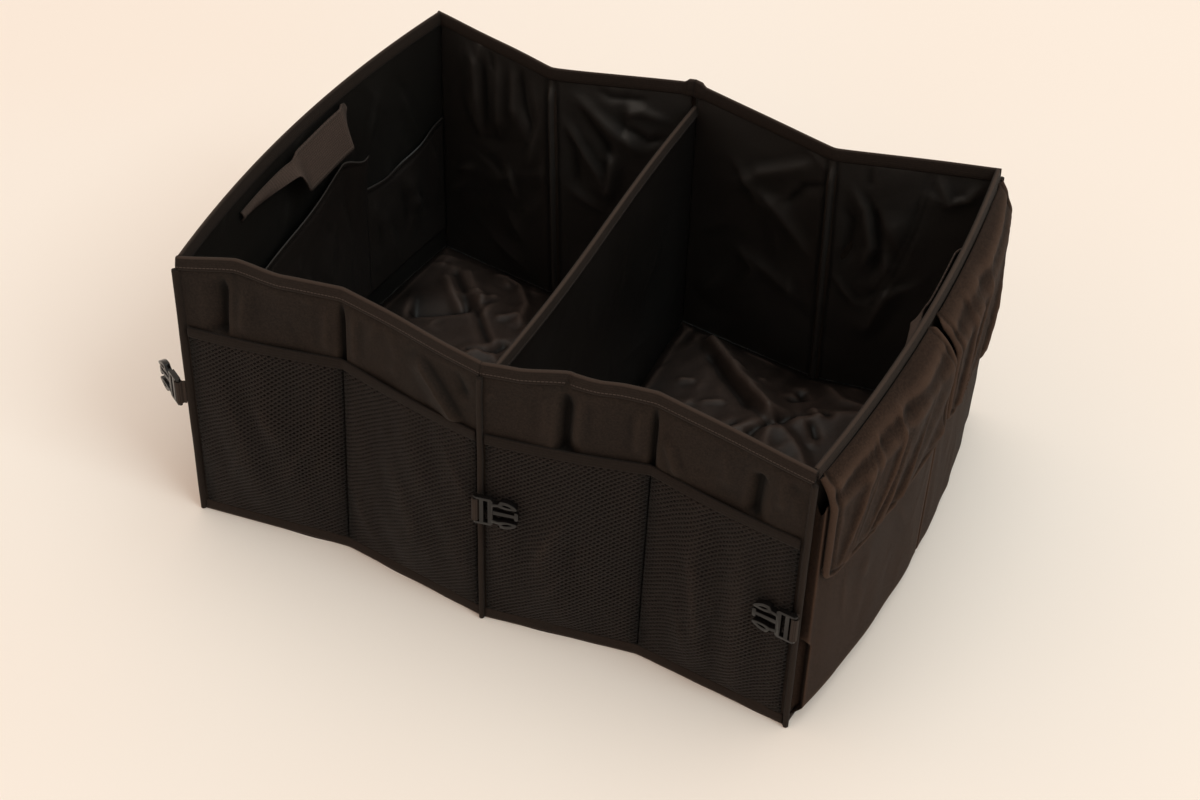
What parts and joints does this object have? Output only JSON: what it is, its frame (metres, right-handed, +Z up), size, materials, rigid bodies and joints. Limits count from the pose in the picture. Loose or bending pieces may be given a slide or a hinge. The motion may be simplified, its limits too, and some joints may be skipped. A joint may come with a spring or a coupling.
{
  "type": "car trunk organizer",
  "caption": "Collapsible fabric trunk organizer with two compartments, front mesh pockets, flapped bellows pockets on one end and buckle plugs on webbing tabs.",
  "frame": {"origin": "on the ground under the middle of the divider, at the centre of the body's length and depth", "axes": "+X along the front towards the end with the flapped pockets, +Y from the mesh pocket side to the back, +Z up"},
  "size_m": [0.6894, 0.5017, 0.3],
  "materials": {
    "outer_cloth": "matte coated polyester plain weave",
    "lining": "smooth satin nylon, creased",
    "binding": "ribbed polyester binding tape with a stitch line",
    "mesh": "open polyester knit mesh",
    "webbing": "ribbed polypropylene webbing",
    "fastener_tape": "hook and loop tape",
    "buckle": "moulded acetal with a low gloss"
  },
  "bodies": {
    "organizer": {"front_panel_1": "outer_cloth", "front_panel_2": "outer_cloth", "front_panel_3": "outer_cloth", "front_panel_4": "outer_cloth", "back_panel_1": "outer_cloth", "back_panel_2": "outer_cloth", "back_panel_3": "outer_cloth", "back_panel_4": "outer_cloth", "left_end_panel": "outer_cloth", "right_end_panel": "outer_cloth", "side_pocket_front": "outer_cloth", "side_pocket_rear": "outer_cloth", "divider_panel": "lining", "left_floor": "lining", "right_floor": "lining", "inner_pocket_front": "lining", "inner_pocket_rear": "lining", "rim_front_left": "binding", "rim_front_right": "binding", "rim_back_left": "binding", "rim_back_right": "binding", "rim_left_end": "binding", "rim_right_end": "binding", "rim_divider": "binding", "corner_piping_front_left": "binding", "corner_piping_front_right": "binding", "corner_piping_back_left": "binding", "corner_piping_back_right": "binding", "center_piping_front": "binding", "center_piping_back": "binding", "hem_front_left": "binding", "hem_front_right": "binding", "hem_back_left": "binding", "hem_back_right": "binding", "hem_left_end": "binding", "hem_right_end": "binding", "mesh_pocket_tape_left": "binding", "mesh_pocket_tape_right": "binding", "mesh_pocket_1": "mesh", "mesh_pocket_2": "mesh", "mesh_pocket_3": "mesh", "mesh_pocket_4": "mesh", "handle_left": "webbing", "handle_right": "webbing", "webbing_tab_left": "webbing", "webbing_tab_center": "webbing", "webbing_tab_right": "webbing", "loop_strip_front": "fastener_tape", "loop_strip_rear": "fastener_tape"},
    "flap_front": {"flap_front": "outer_cloth", "hook_strip_front": "fastener_tape"},
    "flap_rear": {"flap_rear": "outer_cloth", "hook_strip_rear": "fastener_tape"},
    "plug_left": {"buckle_plug_left": "buckle"},
    "plug_center": {"buckle_plug_center": "buckle"},
    "plug_right": {"buckle_plug_right": "buckle"}
  },
  "joints": [
    {"name": "flap_front_hinge", "type": "hinge", "parent": "organizer", "child": "flap_front", "pos_m": [0.3132, -0.11825, 0.291], "axis": [-0.058, -0.9983, 0], "range_deg": [0, 120]},
    {"name": "flap_rear_hinge", "type": "hinge", "parent": "organizer", "child": "flap_rear", "pos_m": [0.3132, 0.11825, 0.291], "axis": [0.058, -0.9983, 0], "range_deg": [0, 120]},
    {"name": "plug_left_swing", "type": "hinge", "parent": "organizer", "child": "plug_left", "pos_m": [-0.31032, -0.24387, 0.146], "axis": [0, 0, 1], "range_deg": [-20, 130]},
    {"name": "plug_center_swing", "type": "hinge", "parent": "organizer", "child": "plug_center", "pos_m": [0.004, -0.255, 0.146], "axis": [0, 0, -1], "range_deg": [0, 150]},
    {"name": "plug_right_swing", "type": "hinge", "parent": "organizer", "child": "plug_right", "pos_m": [0.30198, -0.24918, 0.132], "axis": [0, 0, 1], "range_deg": [0, 150]}
  ]
}
